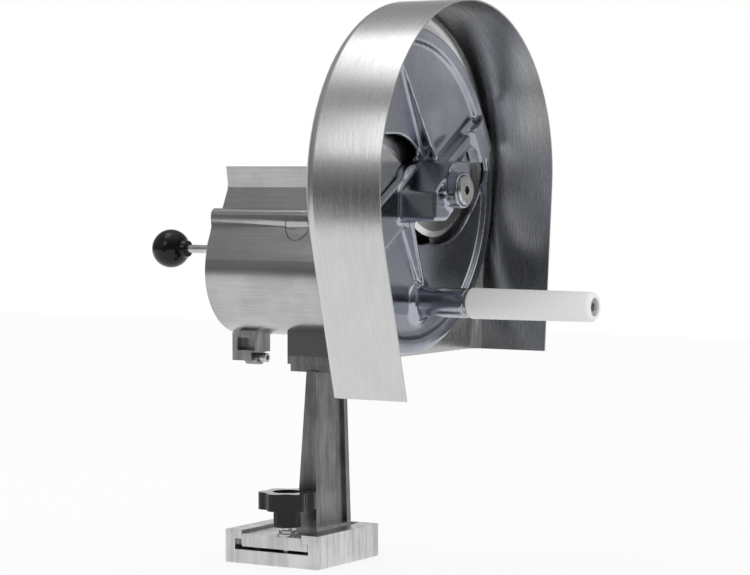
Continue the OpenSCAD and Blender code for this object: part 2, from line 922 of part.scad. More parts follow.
module face_disc() {
    edge = 2.5;
    rotate_extrude($fn=180)
        polygon([[0, plate_back], [plate_r - 1, plate_back], [plate_r, plate_back + 1],
            [plate_r, rim_face - edge], [plate_r - edge*0.3, rim_face - edge*0.3],
            [plate_r - edge, rim_face], [rim_in_r + 0.6, rim_face], [rim_in_r, rim_face - 0.6],
            [rim_in_r - 0.4, web_front + 0.8], [rim_in_r - 1.4, web_front], [0, web_front]]);
}

// Outline of the hub's block: a long six-cornered block that lies askew on the blade bar
module hub_outline() {
    scale(hub_reach/34.6)
        polygon([[-29, -25], [-27, -26.4], [-9, -26.5], [11.5, -13], [32.5, 12], [31.5, 21], [27.5, 25],
            [4.5, 24.5], [-28, -1]]);
}

// A rib on the web between two points, its top sloping from one height down to another
module rib(from, to, from_h, to_h) {
    run = norm(to - from);
    translate([from[0], from[1], web_front])
        rotate([0, 0, atan2(to[1] - from[1], to[0] - from[0])])
            rotate([90, 0, 0])
                translate([0, 0, -rib_t/2])
                    linear_extrude(rib_t)
                        polygon([[0, -web_t*0.4], [0, from_h], [run, to_h], [run + 3, -web_t*0.4]]);
}

// The ridge along the right arm of the blade bar, steep above and sloping towards the window below
module ridge() {
    intersection() {
        rotate([0, 0, bar_angle])
            translate([hub_wall_r - 4, 0, plate_back + 1])
                rotate([90, 0, 90])
                    linear_extrude(plate_r - hub_wall_r)
                        polygon([[-bar_half_w + 0.2, 0], [-bar_half_w + 0.2, ridge_h - 5], [-6.5, ridge_h + web_t - 1],
                            [0.5, ridge_h + web_t - 1], [bar_up - 0.6, 0]]);
        translate([0, -plate_r, plate_back])
            cube([ridge_end, 2*plate_r, 2*hub_h]);
    }
}

// A rounded hood over the outer end of a window, between the blade bar and the rim
module hood() {
    reach = rim_in_r - 10;
    intersection() {
        translate([reach - 12, -hood_w - 4, blade_face + carrier_gap - 0.1])
            cube([36, hood_w, hood_h + web_t]);
        translate([reach, 0, web_front + hood_h - 42])
            rotate([90, 0, 0])
                cylinder(r=42, h=6*hood_w, center=true);
        cylinder(r=plate_r - 3, h=big, $fn=180);
    }
}

module face_plate() {
    color("#8d93a0")
    at_axis()
        difference() {
            union() {
                difference() {
                    face_disc();
                    for (turn = [0, 180])
                        rotate([0, 0, turn + bar_angle])
                            translate([0, 0, plate_back - 1])
                                linear_extrude(2*hub_h)
                                    window_outline();
                }
                rotate([0, 0, bar_angle])
                    translate([-bar_reach, -bar_half_w, plate_back + 1])
                        cube([bar_reach, 2*bar_half_w, bar_face - plate_back - 1]);
                rotate([0, 0, bar_angle])
                    translate([-1, -bar_half_w, plate_back + 1])
                        cube([bar_reach + 1, bar_half_w + bar_up, bar_face - plate_back - 1]);
                ridge();
                for (turn = [0, 180])
                    rotate([0, 0, turn + bar_angle])
                        hood();
                translate([0, 0, web_front - 1])
                    linear_extrude(hub_h + 1)
                        hub_outline();
                translate([0, 0, hub_front - 5])
                    cylinder(r=hub_boss_r, h=hub_boss_h + 5);
                translate([0, 0, plate_back])
                    cylinder(r=hub_wall_r, h=bar_face - plate_back);
                rib([28, 25], [-19, 120], 13, 2.5);
                rib([-17, -21], [crank_x + 5.4, crank_y + 9.8], 12.5, 4);
                translate([crank_x, crank_y, plate_back + 1])
                    cylinder(r=boss_r, h=boss_front - plate_back - 1);
                translate([crank_x, crank_y, web_front - 1])
                    cylinder(r1=boss_r + 6, r2=boss_r - 1, h=7);
            }
            for (turn = [0, 180])
                rotate([0, 0, turn + bar_angle]) {
                    translate([hub_wall_r - 13, -hood_w - 6, plate_back - 1])
                        cube([arm_reach + 15 - hub_wall_r, hood_w + 4, blade_face + carrier_gap - plate_back + 1]);
                    translate([0, -arm_half_w - carrier_gap, plate_back - 1])
                        cube([arm_reach + carrier_gap, arm_half_w + arm_up + 2*carrier_gap,
                            carrier_face + carrier_gap - plate_back + 1]);
                }
            translate([0, 0, plate_back - 1])
                cylinder(r=carrier_hub_r + carrier_gap, h=carrier_face + carrier_gap - plate_back + 1);
            cylinder(r=shaft_r + run_gap, h=big);
            translate([crank_x, crank_y, boss_front - 24])
                cylinder(r=bolt_r - 1, h=30);
            rotate([0, 0, 202])
                translate([0, 0, hub_front + hub_boss_h/2])
                    rotate([0, 90, 0])
                        cylinder(r=3, h=60);
        }
}

module hub_set_screw() {
    color("silver")
    at_axis()
        rotate([0, 0, 202])
            translate([shaft_r + 0.1, 0, hub_front + hub_boss_h/2])
                rotate([0, 90, 0])
                    difference() {
                        cylinder(r=2.95, h=6);
                        translate([0, 0, 3.5])
                            cylinder(r=1.6, h=5, $fn=6);
                    }
}

module handle_washer() {
    color("silver")
    at_axis()
        translate([crank_x, crank_y, boss_front])
            difference() {
                cylinder(r=boss_r - 1, h=washer_t);
                translate([0, 0, -1])
                    cylinder(r=bolt_r + grip_gap, h=washer_t + 2);
            }
}

module handle_bolt() {
    color("silver")
    at_axis()
        translate([crank_x, crank_y, 0])
            union() {
                translate([0, 0, boss_front - 20])
                    cylinder(r=bolt_r - 1, h=20 + eps);
                translate([0, 0, boss_front])
                    cylinder(r=bolt_r, h=bolt_seat + 0.2 - boss_front);
                difference() {
                    translate([0, 0, bolt_seat + 0.2])
                        cylinder(r=bolt_head_r, h=bolt_head_h);
                    translate([0, 0, bolt_seat + 0.2 + bolt_head_h*0.4])
                        cylinder(r=bolt_head_r*0.5, h=bolt_head_h, $fn=6);
                }
            }
}

module handle_grip() {
    edge = grip_edge_r;
    color("white")
    at_axis()
        translate([crank_x, crank_y, 0])
            difference() {
                rotate_extrude()
                    union() {
                        polygon([[0, grip_start], [grip_r - 1.5, grip_start], [grip_r, grip_start + 1.5],
                            [grip_end_r, grip_end - edge], [grip_end_r - edge, grip_end - edge],
                            [grip_end_r - edge, grip_end], [0, grip_end]]);
                        translate([grip_end_r - edge, grip_end - edge])
                            intersection() {
                                circle(r=edge);
                                square(edge);
                            }
                    }
                translate([0, 0, grip_start - 1])
                    cylinder(r=bolt_r + grip_gap, h=grip_len + 2);
                translate([0, 0, bolt_seat])
                    cylinder(r=bolt_head_r + 0.3, h=30);
            }
}

module pusher_plate() {
    color("white")
    difference() {
        along_barrel(pusher_back, pusher_front)
            translate([0, barrel_z])
                chamber_outline(pusher_gap);
        along_barrel(pusher_back + 1, pusher_front - 5)
            translate([0, barrel_z])
                difference() {
                    chamber_outline(pusher_gap + 5);
                    translate([0, rod_up])
                        circle(r=11);
                    translate([-4, -chamber_r])
                        square([8, 2*chamber_r]);
                    translate([-chamber_r, rod_up - 4])
                        square([2*chamber_r, 8]);
                }
        translate([unit_x, 0, rod_z])
            rotate([90, 0, 0])
                cylinder(r=rod_r, h=2*big, center=true);
        translate([unit_x, -pusher_front + 2.5, rod_z])
            rotate([90, 0, 0])
                cylinder(r=rod_r + 2.2, h=5, $fn=6);
    }
}

module pin_places() {
    for (x = [-30, -15, 0, 15, 30], z = [-36, -20, -4, 30])
        if (norm([x, z]) < chamber_r - 8)
            translate([unit_x + x, -pusher_front, barrel_z + z])
                rotate([90, 0, 0])
                    children();
}

module pusher_pins() {
    color("silver")
    pin_places()
        union() {
            cylinder(r=pin_r, h=pin_len - 2);
            translate([0, 0, pin_len - 2])
                cylinder(r1=pin_r, r2=0.3, h=2);
        }
}

module pusher_rod() {
    color("silver")
    translate([unit_x, rod_back, rod_z])
        rotate([90, 0, 0])
            cylinder(r=rod_r, h=rod_back + pusher_front);
}

module rod_nut() {
    color("silver")
    translate([unit_x, pusher_back + 4, rod_z])
        rotate([90, 0, 0])
            difference() {
                cylinder(r=rod_r + 2.6, h=4, $fn=6);
                translate([0, 0, -1])
                    cylinder(r=rod_r, h=6);
            }
}

module ball_knob() {
    color("#151515")
    translate([unit_x, ball_y, rod_z])
        difference() {
            union() {
                sphere(r=ball_r);
                rotate([90, 0, 0])
                    cylinder(r1=ball_r*0.72, r2=rod_r + 3.6, h=ball_r + 1.6);
            }
            rotate([90, 0, 0])
                translate([0, 0, ball_y - rod_back])
                    cylinder(r=rod_r, h=big);
        }
}

// One skin of the strip's section: how far in and how far forward it lies, from the lip to the back plate
function skin(inset) = [[inset, band_d],
    for (a = [0:90/bend_steps:90])
        [bend_r - (bend_r - inset)*cos(a), bend_r - (bend_r - inset)*sin(a)]];

// A place on the guard's outline: its point and the direction that it faces
function on_arch(cx, cz, r, angle, down=0) =
    [cx + r*cos(angle) - down*sin(angle), cz + r*sin(angle) + down*cos(angle), angle];

// The outline from the foot of the right leg, over the arch, to the foot of the left leg
function outline(foot_z) = let (
        left = 180 + lean_left,
        right_run = (arch_cz - arch_r*sin(lean_right) - foot_z)/cos(lean_right),
        left_run = (big_cz - big_arch_r*sin(lean_left) - foot_z)/cos(lean_left))
    concat([on_arch(arch_cx, arch_cz, arch_r, -lean_right, -right_run)],
        [for (i = [0:arch_steps])
            on_arch(arch_cx, arch_cz, arch_r, -lean_right + (arch_join + lean_right)*i/arch_steps)],
        [for (i = [1:side_steps])
            on_arch(big_cx, big_cz, big_arch_r, arch_join + (left - arch_join)*i/side_steps)],
        [on_arch(big_cx, big_cz, big_arch_r, left, left_run)]);

function two(a, b, c, d) = [[a, b, c], [a, c, d]];

// The sheet: its strip swept round the outline, closed by the back plate, open at the front
module folded_sheet(foot_z) {
    path = outline(foot_z);
    skins = [skin(0), skin(sheet_t)];
    m = len(skins[0]);
    last = len(path) - 1;
    hub = (last + 1)*2*m;
    function o(s, j) = s*2*m + j;
    function i(s, j) = s*2*m + m + j;
    points = concat(
        [for (f = path) for (k = skins) for (q = k)
            [f[0] - q[0]*cos(f[2]), -barrel_front - q[1], f[1] - q[0]*sin(f[2])]],
        [[arch_cx, -barrel_front, arch_cz], [arch_cx, -barrel_front - sheet_t, arch_cz]]);
    sides = [for (s = [0:last - 1]) for (j = [0:m - 2])
        each concat(two(o(s, j), o(s + 1, j), o(s + 1, j + 1), o(s, j + 1)),
            two(i(s, j), i(s, j + 1), i(s + 1, j + 1), i(s + 1, j)))];
    lips = [for (s = [0:last - 1])
        each two(i(s, 0), i(s + 1, 0), o(s + 1, 0), o(s, 0))];
    plates = [for (s = [0:last - 1])
        each [[hub, o(s, m - 1), o(s + 1, m - 1)], [hub + 1, i(s + 1, m - 1), i(s, m - 1)]]];
    feet = [for (j = [0:m - 2])
        each concat(two(o(0, j), o(0, j + 1), i(0, j + 1), i(0, j)),
            two(o(last, j + 1), o(last, j), i(last, j), i(last, j + 1)))];
    bottom = concat([[hub, o(last, m - 1), o(0, m - 1)], [hub + 1, i(0, m - 1), i(last, m - 1)]],
        two(o(0, m - 1), o(last, m - 1), i(last, m - 1), i(0, m - 1)));
    polyhedron(points, concat(sides, lips, plates, feet, bottom));
}

module guard() {
    color("lightgray")
    difference() {
        folded_sheet(min(left_end_z, right_end_z) - 10);
        translate([-big/2, -big, left_end_z - 100])
            cube([unit_x - 50 + big/2, 2*big, 100]);
        translate([unit_x - 50, -big, right_end_z - 100])
            cube([big, 2*big, 100]);
        along_barrel(0, big)
            translate([0, barrel_z])
                rim_clear(0.4);
        at_axis()
            cylinder(r=bush_r + 0.1, h=big);
        for (p = guard_screw_at)
            translate([unit_x + p[0], 0, p[1]])
                rotate([90, 0, 0])
                    cylinder(r=guard_screw_r + 0.2, h=big);
    }
}

module guard_screws() {
    color("silver")
    for (p = guard_screw_at)
        translate([unit_x + p[0], -sheet_front, p[1]])
            rotate([90, 0, 0])
                socket_screw(guard_screw_r, 12, guard_screw_r*2, 2.6);
}

base_bracket();
pedestal();
clamp_screw();
clamp_knob();
clamp_collar();
saddle_block();
saddle_bolts();
barrel_housing();
rear_bracket();
rear_bracket_screw();
front_bush();
rear_bush();
crank_shaft();
thrust_washer();
shaft_retaining_ring();
blade_carrier();
carrier_screw();
upper_blade();
lower_blade();
blade_screws();
face_plate();
hub_set_screw();
handle_washer();
handle_bolt();
handle_grip();
pusher_plate();
pusher_pins();
pusher_rod();
rod_nut();
ball_knob();
guard();
guard_screws();
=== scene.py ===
# Rotary vegetable slicer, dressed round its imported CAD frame. Metres; +Z up, the crank faces -Y.

import json
from math import cos, pi, radians, sin

import bpy
from mathutils import Matrix, Vector


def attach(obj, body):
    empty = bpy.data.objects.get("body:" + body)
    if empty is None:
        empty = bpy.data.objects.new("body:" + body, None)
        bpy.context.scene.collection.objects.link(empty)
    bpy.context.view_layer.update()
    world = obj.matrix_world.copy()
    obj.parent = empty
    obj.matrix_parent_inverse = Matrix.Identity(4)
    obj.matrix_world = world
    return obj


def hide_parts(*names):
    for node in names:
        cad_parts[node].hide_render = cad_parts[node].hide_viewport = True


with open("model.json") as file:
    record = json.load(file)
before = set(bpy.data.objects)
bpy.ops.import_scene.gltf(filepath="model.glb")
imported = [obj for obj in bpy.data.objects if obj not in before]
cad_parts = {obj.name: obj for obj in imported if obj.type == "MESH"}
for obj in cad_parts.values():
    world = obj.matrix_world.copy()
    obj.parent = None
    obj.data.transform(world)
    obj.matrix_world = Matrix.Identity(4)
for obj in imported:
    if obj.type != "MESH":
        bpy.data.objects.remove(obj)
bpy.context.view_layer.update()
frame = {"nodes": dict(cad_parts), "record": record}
bpy.ops.object.select_all(action="DESELECT")


# ---- Base on the counter.
# The base is one aluminium sand casting with a T-shaped channel milled through it.
# Its edges are tumbled round, and its faces are a pale, slightly mottled grey.

class Wire:
    """A socket in a material's tree, so that sums on values read as sums."""

    def __init__(self, finish, socket):
        self.finish, self.socket = finish, socket

    def _sum(self, operation, *others):
        return self.finish.node("ShaderNodeMath", {"operation": operation}, *((self,) + others))

    def __add__(self, other):
        return self._sum("ADD", other)

    def __mul__(self, other):
        return self._sum("MULTIPLY", other)

    def __sub__(self, other):
        return self._sum("SUBTRACT", other)

    def __rsub__(self, other):
        return self.finish.node("ShaderNodeMath", {"operation": "SUBTRACT"}, other, self)

    __radd__ = __add__
    __rmul__ = __mul__

    def size(self):
        return self._sum("ABSOLUTE")

    def held(self, low, high):
        """The value, held between two limits."""
        return self._sum("MAXIMUM", low)._sum("MINIMUM", high)

    def between(self, low, high, start=0.0, end=1.0):
        """start where the value is low, end where it is high, smooth in between."""
        return self.finish.node("ShaderNodeMapRange", {"interpolation_type": "SMOOTHSTEP"},
                                self, low, high, start, end)


class Finish:
    """One surface finish: a material with a Principled shader, its constants set on the shader itself."""

    def __init__(self, name, **constants):
        self.material = bpy.data.materials.new(name)
        self.material.use_nodes = True
        self.tree = self.material.node_tree
        self.shader = self.tree.nodes["Principled BSDF"]
        for socket, value in constants.items():
            self.shader.inputs[socket.replace("_", " ")].default_value = value

    def node(self, kind, settings=None, *values, output=0, **named):
        """Adds a node: its settings first, then the values or links of its sockets."""
        new = self.tree.nodes.new(kind)
        for key, value in (settings or {}).items():
            if key == "stops":
                ramp = new.color_ramp.elements
                while len(ramp) < len(value):
                    ramp.new(0.5)
                for element, (place, colour) in zip(ramp, value):
                    element.position, element.color = place, colour
            else:
                setattr(new, key, value)
        pairs = list(zip(new.inputs, values))
        pairs += [(new.inputs[key.replace("_", " ")], value) for key, value in named.items()]
        for socket, value in pairs:
            if isinstance(value, Wire):
                self.tree.links.new(value.socket, socket)
            elif value is not None:
                socket.default_value = value
        return Wire(self, new.outputs[output])

    def place(self, stretch=(1, 1, 1)):
        """The point on the piece in metres, with each direction stretched."""
        point = self.node("ShaderNodeTexCoord", output=3)
        return self.node("ShaderNodeVectorMath", {"operation": "MULTIPLY"}, point, stretch)

    def facing(self, axis):
        """How much the surface faces along an axis of the piece, 0 to 1."""
        normal = self.node("ShaderNodeTexCoord", output=1)
        return self.node("ShaderNodeSeparateXYZ", None, normal, output="XYZ".index(axis)).size()

    def grain(self, vector, scale, detail=2.0, roughness=0.5):
        return self.node("ShaderNodeTexNoise", None, vector, None, scale, detail, roughness)

    def mix(self, factor, first, second):
        """A colour between two colours."""
        new = self.tree.nodes.new("ShaderNodeMix")
        new.data_type = "RGBA"
        for socket, value in ((new.inputs[0], factor), (new.inputs[6], first), (new.inputs[7], second)):
            if isinstance(value, Wire):
                self.tree.links.new(value.socket, socket)
            else:
                socket.default_value = value
        return Wire(self, new.outputs[2])

    def put(self, socket, wire):
        self.tree.links.new(wire.socket, self.shader.inputs[socket])

    def dent(self, height, depth, strength=1.0):
        """Bumps the surface by a height from 0 to 1, times a depth in metres."""
        self.put("Normal", self.node("ShaderNodeBump", None, Strength=strength, Distance=depth, Height=height))


def grey(value, tint=(1, 1, 1)):
    return (value * tint[0], value * tint[1], value * tint[2], 1)


def cast_finish(name, light, dark, rough, foot=None, foot_top=0.0):
    """Sand-cast aluminium: a pebbled grain, blotches, draw marks and a few dark pits.

    With foot, the metal below foot_top is that pale."""
    cast = Finish(name, Metallic=1.0, Specular_IOR_Level=0.5)
    point = cast.place()
    blotch = cast.grain(point, 26, 3, 0.6).between(0.3, 0.72)
    pebble = cast.grain(point, 900, 3, 0.55)
    pits = cast.grain(point, 420, 2, 0.5).between(0.66, 0.78)
    draw = cast.grain(cast.place((1, 1, 0.1)), 190, 3, 0.6).between(0.4, 0.62)
    tone = blotch * 0.4 + draw * 0.4 + pebble * 0.2
    metal = cast.mix(tone, grey(light), grey(dark))
    if foot:
        up = cast.node("ShaderNodeSeparateXYZ", None, cast.place(), output=2)
        milled = cast.mix(tone, grey(foot), grey(foot * 0.7))
        metal = cast.mix(up.between(foot_top, foot_top + 0.006), milled, metal)
    cast.put("Base Color", cast.mix(pits * 0.45, metal, grey(dark * 0.45)))
    cast.put("Roughness", (tone * 0.14 + rough + pits * 0.15).held(0.2, 0.8))
    cast.dent(pebble * 0.7 + blotch * 0.5 - pits * 0.8, 0.00022, 0.55)
    return cast.material


def underside(node):
    """The height of a CAD node's underside."""
    return min((frame["nodes"][node].matrix_world @ v.co)[2] for v in frame["nodes"][node].data.vertices)


def paint(piece, material):
    piece.data.materials.clear()
    piece.data.materials.append(material)
    for face in piece.data.polygons:
        face.material_index = 0


def only(piece):
    """Selects one piece and nothing else."""
    bpy.ops.object.select_all(action="DESELECT")
    piece.select_set(True)
    bpy.context.view_layer.objects.active = piece


def finish_edges(piece, width, angle=30, steps=2):
    """Rounds the sharp edges of a piece and shades it smooth between them."""
    only(piece)
    bevel = piece.modifiers.new("edges", "BEVEL")
    bevel.width, bevel.segments = width, steps
    bevel.limit_method, bevel.angle_limit = "ANGLE", radians(angle)
    bevel.miter_outer = "MITER_ARC"
    bpy.ops.object.modifier_apply(modifier=bevel.name)
    bpy.ops.object.shade_smooth_by_angle(angle=radians(32))
    weigh = piece.modifiers.new("shading", "WEIGHTED_NORMAL")
    weigh.keep_sharp = True
    bpy.ops.object.modifier_apply(modifier=weigh.name)


def carve(piece, places, depth=0.2):
    """Cuts upright round grooves out of a piece, each by its axis, its distance, its bearing and its radius."""
    for centre, reach, bearing, radius in places:
        place = (centre[0] + reach * cos(bearing), centre[1] + reach * sin(bearing), centre[2])
        bpy.ops.mesh.primitive_cylinder_add(vertices=48, radius=radius, depth=depth, location=place)
        cutter = bpy.context.active_object
        cut = piece.modifiers.new("groove", "BOOLEAN")
        cut.object, cut.operation, cut.solver = cutter, "DIFFERENCE", "EXACT"
        only(piece)
        bpy.ops.object.modifier_apply(modifier=cut.name)
        bpy.data.objects.remove(cutter)


def soft_cast(piece, grid, passes):
    """Melts a piece's edges and corners into soft cast fillets."""
    only(piece)
    piece.data.remesh_voxel_size = grid
    piece.data.remesh_voxel_adaptivity = 0
    bpy.ops.object.voxel_remesh()
    melt = piece.modifiers.new("melt", "SMOOTH")
    melt.factor, melt.iterations = 0.5, passes
    bpy.ops.object.modifier_apply(modifier=melt.name)
    bpy.ops.object.shade_smooth()


def body_of(node):
    return next(b for b, nodes in frame["record"]["behaviour"]["bodies"].items() if node in nodes)


def eased(node, width, material, name=None, angle=30, steps=2):
    """A copy of a CAD node with its edges rounded, which is shown in the node's place."""
    piece = frame["nodes"][node].copy()
    piece.data = piece.data.copy()
    piece.name = name or node + "_eased"
    piece.parent = None
    piece.matrix_world = Matrix.Identity(4)
    bpy.context.collection.objects.link(piece)
    only(piece)
    bpy.ops.mesh.customdata_custom_splitnormals_clear()
    bpy.ops.object.mode_set(mode="EDIT")
    bpy.ops.mesh.select_all(action="SELECT")
    bpy.ops.mesh.remove_doubles(threshold=2e-6)
    bpy.ops.mesh.dissolve_limited(angle_limit=radians(0.3))
    bpy.ops.object.mode_set(mode="OBJECT")
    if width:
        finish_edges(piece, width, angle, steps)
    paint(piece, material)
    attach(piece, body_of(node))
    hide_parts(node)
    return piece


cast_grey = cast_finish("cast_aluminium", 0.82, 0.56, 0.30)
eased("base_bracket", 0.0009, cast_grey, steps=3)


# ---- Pedestal.
# One casting: the foot that slides in the base, the column with its side flanges, and the head.
# The column and head are darker and rougher than the base, with draw marks down the sides, and the foot
# is as pale as the base.

foot_top = underside("clamp_collar") + 0.001
# The column and head's dark tone is partly painted shade: it was lowered to stand in for the knob's shadow on
# the column.
pedestal_grey = cast_finish("pedestal_casting", 0.32, 0.15, 0.34, foot=0.8, foot_top=foot_top)
eased("pedestal", 0.0007, pedestal_grey, steps=3)


# ---- Clamp.
# A black moulded star knob with a fluted hub on a steel screw, with a plated collar nut under it.
# Turning the knob presses the screw on the base's floor and locks the slide.

def bright_steel(name, light=0.6, rough=0.24, stained=0.72):
    """Turned and plated steel: fine rings from the lathe and small stains."""
    steel = Finish(name, Metallic=1.0)
    stain = steel.grain(steel.place(), 140, 3, 0.6)
    ring = steel.grain(steel.place((0.2, 1, 0.2)), 1800, 2, 0.4)
    steel.put("Base Color", steel.mix(stain.between(0.35, 0.7), grey(light), grey(light * stained)))
    steel.put("Roughness", (stain * 0.16 + ring * 0.1 + (rough - 0.1)).held(0.08, 0.7))
    steel.dent(ring, 0.00006, 0.35)
    return steel.material


def black_moulding(name):
    """Glossy black phenolic: a slight orange peel, and finger marks in the gloss."""
    moulding = Finish(name, Specular_IOR_Level=0.3)
    smear = moulding.grain(moulding.place(), 70, 3, 0.6)
    peel = moulding.grain(moulding.place(), 520, 2, 0.4)
    moulding.put("Base Color", moulding.mix(smear, grey(0.004), grey(0.009, (0.95, 1, 1.05))))
    moulding.put("Roughness", (smear * 0.14 + 0.06).held(0.06, 0.4))
    moulding.dent(peel, 0.00009, 0.3)
    return moulding.material


steel_bright = bright_steel("bright_steel")
knob_black = black_moulding("black_moulding")
knob = eased("clamp_knob", 0, knob_black)
knob_low, knob_high = ([side(v.co[i] for v in knob.data.vertices) for i in range(3)] for side in (min, max))
knob_centre = [(low + high) / 2 for low, high in zip(knob_low, knob_high)]
hub_centre = (knob_centre[0], knob_centre[1], knob_low[2] + 0.0035)
lobes, notch_reach, notch_radius = 6, 0.0285, 0.0082
flutes, flute_reach, flute_radius, flute_length = 12, 0.0136, 0.0026, 0.018
carve(knob, [(knob_centre, notch_reach, 2 * pi * (i + 0.5) / lobes, notch_radius) for i in range(lobes)])
carve(knob, [(hub_centre, flute_reach, 2 * pi * i / flutes, flute_radius) for i in range(flutes)], flute_length)
finish_edges(knob, 0.0016, 40, 4)
eased("clamp_screw", 0.0004, steel_bright)
eased("clamp_collar", 0.0005, steel_bright)


# ---- Saddle block.
# A smooth dark block between the head and the barrel, faced on a mill, with four bolts through it.

saddle_grey = Finish("faced_block", Metallic=0.85)
tool = saddle_grey.grain(saddle_grey.place((1, 0.05, 1)), 900, 2, 0.5)
film = saddle_grey.grain(saddle_grey.place(), 30, 3, 0.5)
saddle_grey.put("Base Color", saddle_grey.mix(film, grey(0.115), grey(0.15)))
saddle_grey.put("Roughness", (tool * 0.12 + film * 0.12 + 0.36).held(0.3, 0.7))
saddle_grey.dent(tool, 0.00005, 0.3)
eased("saddle_block", 0.0005, saddle_grey.material)
paint(frame["nodes"]["saddle_bolts"], steel_bright)


# ---- Barrel.
# One casting, turned on its round part and milled along its lobes and neck, so the light runs in
# long even bands with fine tool lines across them.

def turned_finish(name, light, rough):
    turned = Finish(name, Metallic=1.0)
    point = turned.place()
    lathe = turned.grain(turned.place((0.04, 1, 0.04)), 2600, 2, 0.5)
    drawn = turned.grain(turned.place((1, 0.03, 1)), 520, 3, 0.6)
    cloud = turned.grain(point, 30, 3, 0.6)
    fleck = turned.grain(point, 1500, 2, 0.5)
    streak = turned.grain(turned.place((1, 0.02, 1)), 900, 3, 0.6).between(0.35, 0.65)
    tone = cloud.between(0.3, 0.7) * 0.4 + fleck * 0.25 + streak * 0.35
    turned.put("Base Color", turned.mix(tone, grey(light * 1.04), grey(light * 0.76)))
    turned.put("Roughness", (cloud * 0.1 + drawn * 0.12 + rough).held(0.12, 0.7))
    turned.dent(lathe * 0.6 + drawn * 0.5 + fleck * 0.3, 0.00007, 0.4)
    return turned.material


barrel_bright = turned_finish("turned_aluminium", 0.52, 0.13)
barrel = eased("barrel_housing", 0.0006, barrel_bright, steps=3)

# Each milled spot on the lobes is a thin ring, and the lobe's own curve runs on inside it: a round plug
# is cut from the lobe behind the spot and slid forward into it.
middle_x, spot_y, spot_z, spot_radius = 0.0125, -0.0174, 0.2946, 0.0115
spot_floor, plug_in, plug_out, slid = 0.0464, 0.001, 0.008, 0.04
for side, name in ((-1, "spot_left"), (1, "spot_right")):
    plug = barrel.copy()
    plug.data = barrel.data.copy()
    plug.name = name
    bpy.context.collection.objects.link(plug)
    plug_x = middle_x + side * (spot_floor + (plug_out - plug_in) / 2)
    bpy.ops.mesh.primitive_cylinder_add(vertices=96, radius=spot_radius, depth=plug_in + plug_out,
                                        rotation=(0, pi / 2, 0), location=(plug_x, spot_y + slid, spot_z))
    cutter = bpy.context.active_object
    cut = plug.modifiers.new("plug", "BOOLEAN")
    cut.object, cut.operation, cut.solver = cutter, "INTERSECT", "EXACT"
    only(plug)
    bpy.ops.object.modifier_apply(modifier=cut.name)
    bpy.data.objects.remove(cutter)
    plug.data.transform(Matrix.Translation((0, -slid, 0)))
    finish_edges(plug, 0.0009, steps=3)
    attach(plug, body_of("barrel_housing"))
bracket_grey = cast_finish("bracket_casting", 0.5, 0.24, 0.32)
eased("rear_bracket", 0.0006, bracket_grey, steps=3)
paint(frame["nodes"]["rear_bracket_screw"], steel_bright)


# ---- Crank shaft in its bushes.
# A steel shaft in two oiled bronze bushes, with a thrust washer and a retaining ring at the back.

bronze = Finish("oiled_bronze", Metallic=1.0)
pores = bronze.grain(bronze.place(), 1500, 2, 0.5).between(0.6, 0.72)
oil = bronze.grain(bronze.place(), 60, 2, 0.5)
bronze.put("Base Color", bronze.mix(pores, (0.62, 0.43, 0.2, 1), (0.2, 0.13, 0.06, 1)))
bronze.put("Roughness", oil * 0.2 + 0.3)
bronze.dent(1 - pores, 0.00005, 0.5)
for node in ("front_bush", "rear_bush", "thrust_washer"):
    paint(frame["nodes"][node], bronze.material)
eased("crank_shaft", 0.0003, steel_bright)
paint(frame["nodes"]["shaft_retaining_ring"], steel_bright)


# ---- Blades on their carrier.
# Two half-moon blades of ground stainless steel, screwed on the carrier's two arms.

blade_bright = bright_steel("ground_blade", 0.7, 0.16, stained=0.95)
for node in ("blade_carrier", "carrier_screw", "blade_screws"):
    paint(frame["nodes"][node], steel_bright)
for node in ("upper_blade", "lower_blade"):
    paint(frame["nodes"][node], blade_bright)


# ---- Face plate.
# A polished aluminium casting that turns with the shaft. Its rim, ribs, hub and handle boss run into
# each other with soft fillets, and the polish shows faint scratches and cloudy patches.

polished = Finish("polished_casting", Metallic=1.0)
haze = polished.grain(polished.place(), 22, 4, 0.6).between(0.3, 0.72)
scratch = polished.grain(polished.place((1, 1, 0.05)), 1200, 2, 0.5)
speck = polished.grain(polished.place(), 700, 2, 0.5).between(0.68, 0.74)
polished.put("Base Color", polished.mix(haze, (0.43, 0.45, 0.50, 1), (0.33, 0.35, 0.40, 1)))
polished.put("Roughness", (haze * 0.1 + scratch * 0.06 + 0.12 + speck * 0.2).held(0.1, 0.6))
polished.dent(haze * 0.6 + scratch * 0.25 - speck * 0.4, 0.00012, 0.35)
cast_grid, melt_passes = 0.0015, 14
plate = eased("face_plate", 0, polished.material)
soft_cast(plate, cast_grid, melt_passes)
paint(plate, polished.material)
paint(frame["nodes"]["hub_set_screw"], steel_bright)


# ---- Crank handle.
# A white moulded grip that turns on a shouldered bolt in the face plate's boss.

white = Finish("white_moulding", Subsurface_Weight=0.15, Subsurface_Scale=0.004, Coat_Weight=0.0)
flow = white.grain(white.place((1, 0.15, 1)), 90, 3, 0.5)
skin = white.grain(white.place(), 1400, 2, 0.5)
white.put("Base Color", white.mix(flow, grey(0.93, (1, 1, 0.99)), grey(0.87, (1, 1, 0.99))))
white.put("Roughness", (flow * 0.12 + skin * 0.06 + 0.32).held(0.25, 0.7))
white.dent(skin * 0.5 + flow * 0.5, 0.00005, 0.3)
eased("handle_grip", 0.0018, white.material, steps=4)
eased("handle_bolt", 0.0005, steel_bright)
paint(frame["nodes"]["handle_washer"], steel_bright)


# ---- Pusher.
# A white food pusher with steel holding pins, pulled by a thin rod with a black ball at its end.

eased("pusher_plate", 0.0008, white.material, steps=3)
paint(frame["nodes"]["pusher_pins"], steel_bright)
paint(frame["nodes"]["rod_nut"], steel_bright)
eased("pusher_rod", 0.0003, steel_bright)
eased("ball_knob", 0.0006, knob_black, steps=3)


